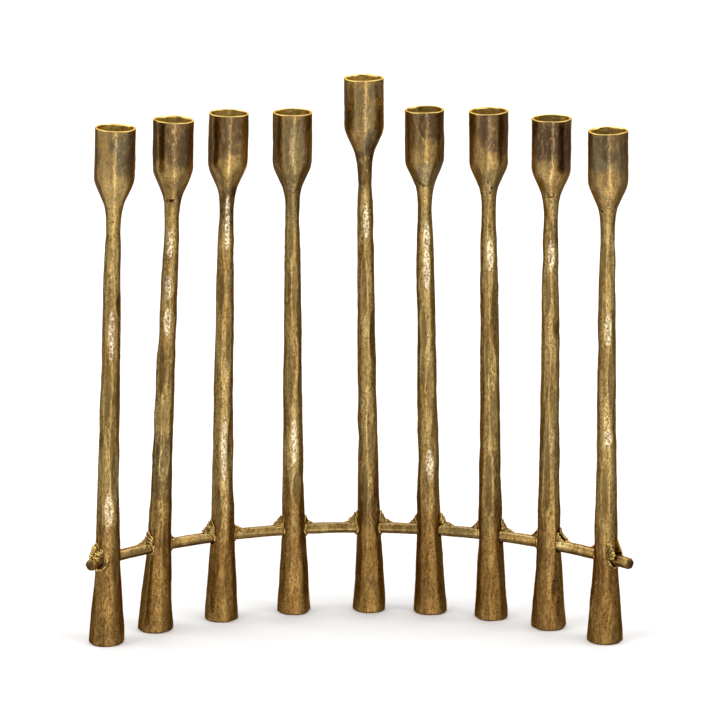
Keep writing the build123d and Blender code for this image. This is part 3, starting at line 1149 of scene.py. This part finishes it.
# The bead's collar round the rod: (first degree, last degree, mm outside the rod, half thickness mm),
# where 90 is over the rod, 180 in front of it and 270 under it
COLLARS = {
    ("1", -1): (170, 300, 2.6, 1.25),
    ("2", -1): (60, 250, 0.9, 1.0),
    ("3", -1): (60, 190, 0.7, 0.9),
    ("4", -1): (60, 210, 0.7, 0.9),
    ("5", 1): (60, 150, 0.6, 0.8),
    ("6", -1): (60, 170, 0.7, 0.9),
    ("6", 1): (60, 140, 0.6, 0.8),
    ("7", 1): (60, 140, 0.6, 0.8),
    ("8", 1): (140, 300, 1.8, 1.15),
}
PLAIN_COLLAR = (40, 250, 0.6, 0.9)


def blob(middle, axes, radii):
    """Points and triangles of one ellipsoid, from three unit axes and three radii."""
    ball = bmesh.new()
    bmesh.ops.create_icosphere(ball, subdivisions=3, radius=1.0)
    points = np.array([v.co for v in ball.verts])
    faces = [[v.index for v in f.verts] for f in ball.faces]
    ball.free()
    return (points * np.array(radii)) @ np.array(axes) + np.array(middle), faces


def melted(name, blobs, voxel, seed):
    """One closed lump melted together from ellipsoids, with a slightly rippled skin."""
    points, faces = [], []
    base = 0
    for middle, axes, radii in blobs:
        more, triangles = blob(middle, axes, radii)
        points.append(more)
        faces += [[base + k for k in face] for face in triangles]
        base += len(more)
    piece = new_piece(name, np.concatenate(points), faces, [brass("bead")])
    melt = piece.modifiers.new("melt", "REMESH")
    melt.mode = "VOXEL"
    melt.voxel_size = voxel
    relax = piece.modifiers.new("relax", "SMOOTH")
    relax.factor = 0.5
    relax.iterations = 4
    frozen(piece)
    mesh = piece.data
    points = mesh_vectors(mesh, "co")
    ripple = 0.14 * MM * field(points + seed, 0.0018, seed)
    ripple += 0.06 * MM * field(points + seed, 0.0009, seed + 1)
    points += mesh_vectors(mesh, "normal") * ripple[:, None]
    mesh.vertices.foreach_set("co", points.astype(np.float32).ravel())
    mesh.shade_smooth()
    mesh.update()
    return piece


def stem_radius_at(name, height):
    """A stem's round radius at a height along it."""
    share = height / (candle_axis(name)[2] - CUP_LENGTH)
    return float(curve_through(STEM_SHARES, STEM_RADII, [share])[0]) * MM


def corner_axes(name, side):
    """The rod's crossing point, and the directions out along the rod, up, and to the back."""
    point, direction = crossing(name)
    out = np.array(direction) * side
    return np.array(point), out, np.array([0, 0, 1.0]), np.array(Vector((0, 0, 1)).cross(direction))


def web_blobs(name, side, web, seed):
    """A fan of ribs that fills the corner between the stem's side and the rod's top."""
    count, rise, run, thick, rib, offset, hollow = web
    rng = np.random.default_rng(seed)
    point, out, up, back = corner_axes(name, side)
    stem_radius = stem_radius_at(name, rod_level() + 4 * MM)
    wall = math.sqrt(stem_radius ** 2 - min(abs(offset * MM), 0.8 * stem_radius) ** 2) - 0.8 * MM
    deep = ROD_RADIUS - 0.9 * MM - 0.18 * abs(offset) * MM
    corner = point + out * wall + up * deep + back * offset * MM
    blobs = []
    for k in range(count):
        angle = 0.5 * math.pi * (k + 0.5) / count
        pull = 1 - hollow * math.sin(2 * angle)
        tip = (out * run * math.cos(angle) + up * rise * math.sin(angle)) * MM * pull
        tip = tip * (1 + 0.08 * rng.uniform(-1, 1)) + out * 0.8 * MM * math.cos(angle)
        length = np.linalg.norm(tip)
        way = tip / length
        normal = np.cross(back, way)
        middle = corner + tip * 0.5 + back * rng.uniform(-0.2, 0.2) * MM
        width = thick * MM * (1 + 0.10 * rng.uniform(-1, 1))
        blobs.append((middle, (way, back, normal), (0.5 * length + 0.5 * MM, width, rib * MM)))
    return blobs


def collar_blobs(name, side, seed):
    """A lip of braze round the rod, where it goes into the stem."""
    first, last, gap, thick = COLLARS.get((name, side), PLAIN_COLLAR)
    rng = np.random.default_rng(seed)
    point, out, up, back = corner_axes(name, side)
    stem_radius = stem_radius_at(name, rod_level())
    reach = ROD_RADIUS + gap * MM
    blobs = []
    for degrees in np.arange(first, last, 9):
        angle = math.radians(degrees)
        spoke = back * math.cos(angle) + up * math.sin(angle)
        wall = math.sqrt(stem_radius ** 2 - (reach * math.cos(angle)) ** 2)
        size = thick * MM * (1 + 0.22 * rng.uniform(-1, 1))
        middle = point + out * (wall + 0.1 * MM) + spoke * reach
        blobs.append((middle, (out, spoke, np.cross(out, spoke)), (1.25 * size, size, 1.5 * size)))
    return blobs


def make_bead(name, side):
    """The braze bead on one side of a stem: -1 is its left, 1 its right."""
    s = active_settings().bead
    seed = 500 + 2 * NAMES.index(name) + (side > 0)
    blobs = []
    for k, web in enumerate(WEBS[(name, side)]):
        blobs += web_blobs(name, side, web, seed + 100 * k)
    blobs += collar_blobs(name, side, seed + 50)
    word = "left" if side < 0 else "right"
    bead = melted(f"braze_bead_{name}_{word}", blobs, s.voxel, seed)
    # the beads' crests and hollows are pushed harder: partly rubbed brass and patina, partly painted
    # highlight and crevice shade
    mark_wear_and_shading(bead, 8, gain=1.6)
    return settle(bead, f"braze_{name}_{word}")


# ------------------------------------------------------------------------ stage


def make_floor():
    """The pale floor the menorah stands on; it isn't part of the object."""
    s = active_settings().stage
    half = 0.5 * s.floor_size
    corners = np.array([(-half, -half, 0), (half, -half, 0), (half, half, 0), (-half, half, 0)], float)
    pale = plain_material("pale_floor", tuple(s.floor_colour), 0.9)
    floor = new_piece("floor", corners, [(0, 1, 2, 3)], [pale])
    floor.visible_glossy = False
    floor.visible_shadow = False


class Sky(Graph):
    """Softboxes painted on the sky, by direction: each is a soft window in bearing and elevation.
    Bearing is in degrees to the right of the front, elevation in degrees above the horizon."""

    def __init__(self, tree):
        super().__init__(tree)
        place = self.nodes.new("ShaderNodeTexCoord")
        split = self.nodes.new("ShaderNodeSeparateXYZ")
        self.put(split.inputs[0], place.outputs["Generated"])
        front = self.math("MULTIPLY", split.outputs["Y"], -1.0)
        bearing = self.math("ARCTAN2", split.outputs["X"], front)
        self.bearing = self.math("MULTIPLY", bearing, 180 / math.pi)
        elevation = self.math("ARCSINE", split.outputs["Z"])
        self.elevation = self.math("MULTIPLY", elevation, 180 / math.pi)
        self.total = 0.0

    def window(self, value, middle, half, soft):
        """1 within half of the middle, fading to 0 over the soft edge."""
        gap = self.math("ABSOLUTE", self.math("SUBTRACT", value, middle))
        return self.remap(gap, half + soft, half, 0.0, 1.0, "SMOOTHSTEP")

    def softbox(self, radiance, bearing=None, elevation=None, mirrored=False):
        """Adds a softbox; bearing and elevation are (middle, half width, soft edge)."""
        light = radiance
        if bearing:
            value = self.math("ABSOLUTE", self.bearing) if mirrored else self.bearing
            light = self.math("MULTIPLY", light, self.window(value, *bearing))
        if elevation:
            light = self.math("MULTIPLY", light, self.window(self.elevation, *elevation))
        self.total = self.math("ADD", self.total, light)


def make_sky():
    """The studio: what lights the object, and the white paper the camera sees behind it."""
    world = bpy.data.worlds.new("studio")
    bpy.context.scene.world = world
    world.use_nodes = True
    sky = Sky(world.node_tree)
    # an even glow, then the ceiling and two tall boxes at the sides
    sky.softbox(0.24)
    sky.softbox(0.84, elevation=(90, 36, 10))
    sky.softbox(2.8, bearing=(80, 26, 14), elevation=(38, 14, 12), mirrored=True)
    # low in front: a wide dim wall, and the narrow strip that runs down the stems
    sky.softbox(0.56, bearing=(4, 38, 42), elevation=(-15, 45, 20))
    sky.softbox(7.5, bearing=(7, 1.5, 1.8), elevation=(-15, 40, 15))
    # low at the sides
    sky.softbox(0.24, bearing=(62, 34, 24), elevation=(-12, 40, 20))
    sky.softbox(0.60, bearing=(-74, 24, 16), elevation=(-12, 35, 15))
    # behind, low and high
    sky.softbox(0.40, bearing=(180, 16, 12), elevation=(-12, 35, 20), mirrored=True)
    sky.softbox(1.1, bearing=(180, 40, 15), elevation=(32, 14, 10), mirrored=True)
    # light thrown back up by the floor
    sky.softbox(0.18, elevation=(-90, 30, 25))
    studio = sky.nodes["Background"]
    sky.put(studio.inputs["Color"], (1, 1, 1))
    sky.put(studio.inputs["Strength"], sky.total)
    paper = sky.nodes.new("ShaderNodeBackground")
    sky.put(paper.inputs["Color"], (1, 1, 1))
    sky.put(paper.inputs["Strength"], 1.05)
    seen = sky.nodes.new("ShaderNodeLightPath")
    mix = sky.nodes.new("ShaderNodeMixShader")
    sky.put(mix.inputs["Fac"], seen.outputs["Is Camera Ray"])
    sky.put(mix.inputs[1], studio.outputs[0])
    sky.put(mix.inputs[2], paper.outputs[0])
    sky.put(sky.nodes["World Output"].inputs["Surface"], mix.outputs[0])


def make_stage():
    """Camera, floor and sky."""
    s = active_settings().stage
    scene = bpy.context.scene
    scene.view_settings.view_transform = "Standard"
    data = bpy.data.cameras.new("camera")
    data.lens = s.camera_lens
    data.sensor_width = 36
    data.clip_end = 50
    camera = bpy.data.objects.new("camera", data)
    camera.location = (0, -s.camera_distance, s.camera_height)
    camera.rotation_euler = (0.5 * math.pi - s.camera_pitch, 0, 0)
    scene.collection.objects.link(camera)
    scene.camera = camera
    make_floor()
    make_sky()


# -------------------------------------------------------------------- operators


class MENORAH_OT_stage(bpy.types.Operator):
    """Set up the camera, the pale floor and the studio lights"""

    bl_idname = "menorah.stage"
    bl_label = "Stage"

    def execute(self, context):
        make_stage()
        return {"FINISHED"}


class MENORAH_OT_stems(bpy.types.Operator):
    """Build the nine hammered stems and drill them for the rod"""

    bl_idname = "menorah.stems"
    bl_label = "Stems"

    def execute(self, context):
        for name in NAMES:
            make_stem(name)
        return {"FINISHED"}


class MENORAH_OT_cups(bpy.types.Operator):
    """Build the nine candle cups"""

    bl_idname = "menorah.cups"
    bl_label = "Cups"

    def execute(self, context):
        for name in NAMES:
            make_cup(name)
        return {"FINISHED"}


class MENORAH_OT_rod(bpy.types.Operator):
    """Build the arc rod with its cast flats and ragged top ridge"""

    bl_idname = "menorah.rod"
    bl_label = "Rod"

    def execute(self, context):
        make_rod()
        return {"FINISHED"}


class MENORAH_OT_beads(bpy.types.Operator):
    """Melt the braze beads that hold the rod in the stems"""

    bl_idname = "menorah.beads"
    bl_label = "Braze beads"

    def execute(self, context):
        for name in NAMES:
            for side in (-1, 1):
                make_bead(name, side)
        return {"FINISHED"}


class MENORAH_PT_panel(bpy.types.Panel):
    """Sizes, colours and steps of the menorah"""

    bl_idname = "MENORAH_PT_panel"
    bl_label = "Menorah"
    bl_space_type = "VIEW_3D"
    bl_region_type = "UI"
    bl_category = "Menorah"

    def draw(self, context):
        settings = context.scene.menorah
        for step in STEPS:
            self.layout.operator(step)
        for group in ("stem", "cup", "rod", "bead", "finish", "stage"):
            box = self.layout.box()
            box.label(text=group.capitalize())
            values = getattr(settings, group)
            for key in values.__annotations__:
                box.prop(values, key)


STEPS = ["menorah.stage", "menorah.stems", "menorah.cups", "menorah.rod", "menorah.beads"]

CLASSES = [
    MenorahStemSettings,
    MenorahCupSettings,
    MenorahRodSettings,
    MenorahBeadSettings,
    MenorahFinishSettings,
    MenorahStageSettings,
    MenorahSettings,
    MENORAH_OT_stage,
    MENORAH_OT_stems,
    MENORAH_OT_cups,
    MENORAH_OT_rod,
    MENORAH_OT_beads,
    MENORAH_PT_panel,
]


def register():
    for cls in CLASSES:
        bpy.utils.register_class(cls)
    bpy.types.Scene.menorah = PointerProperty(type=MenorahSettings)


def unregister():
    del bpy.types.Scene.menorah
    for cls in reversed(CLASSES):
        bpy.utils.unregister_class(cls)


def main():
    register()
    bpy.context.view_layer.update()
    bpy.ops.menorah.stage()
    bpy.ops.menorah.stems()
    bpy.ops.menorah.cups()
    bpy.ops.menorah.rod()
    bpy.ops.menorah.beads()


if __name__ == "__main__":
    main()
